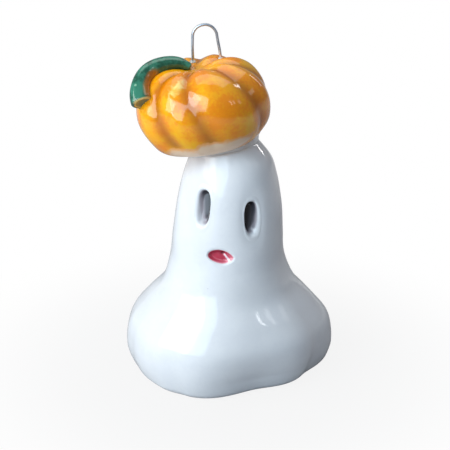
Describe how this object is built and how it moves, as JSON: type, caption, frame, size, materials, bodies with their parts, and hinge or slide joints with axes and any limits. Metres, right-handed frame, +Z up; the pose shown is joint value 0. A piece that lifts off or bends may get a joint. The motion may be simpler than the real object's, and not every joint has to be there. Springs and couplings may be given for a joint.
{
  "type": "ceramic ghost figure",
  "caption": "Hollow glazed ceramic ghost with a pressed-in face and a wavy hem. It wears a ribbed pumpkin on its head and hangs from a wire loop, or stands on its hem.",
  "frame": {"origin": "on the floor under the middle of the hem's box", "axes": "+Z up, the face looks along -Y, +X is to the right of someone who looks at the face"},
  "size_m": [0.0619, 0.0534, 0.1035],
  "materials": {
    "white_glaze": "glossy white glaze with a few dark specks",
    "eye_glaze": "charcoal underglaze under a clear gloss",
    "mouth_glaze": "crimson underglaze under a clear gloss",
    "slip": "white slip under a clear gloss",
    "orange_glaze": "glossy orange glaze, thinner and browner in the grooves",
    "green_glaze": "glossy blue-green glaze with pale specks",
    "kiln_wire": "bright kiln wire, a little dulled by firing",
    "bead_glaze": "pooled pale glaze"
  },
  "bodies": {
    "root": {"ghost_body": "white_glaze", "eye_glaze_left": "eye_glaze", "eye_glaze_right": "eye_glaze", "mouth_glaze": "mouth_glaze", "slip_collar": "slip", "pumpkin": "orange_glaze", "stem": "green_glaze", "hanger_wire": "kiln_wire", "wire_glaze_beads": "bead_glaze"}
  },
  "joints": []
}
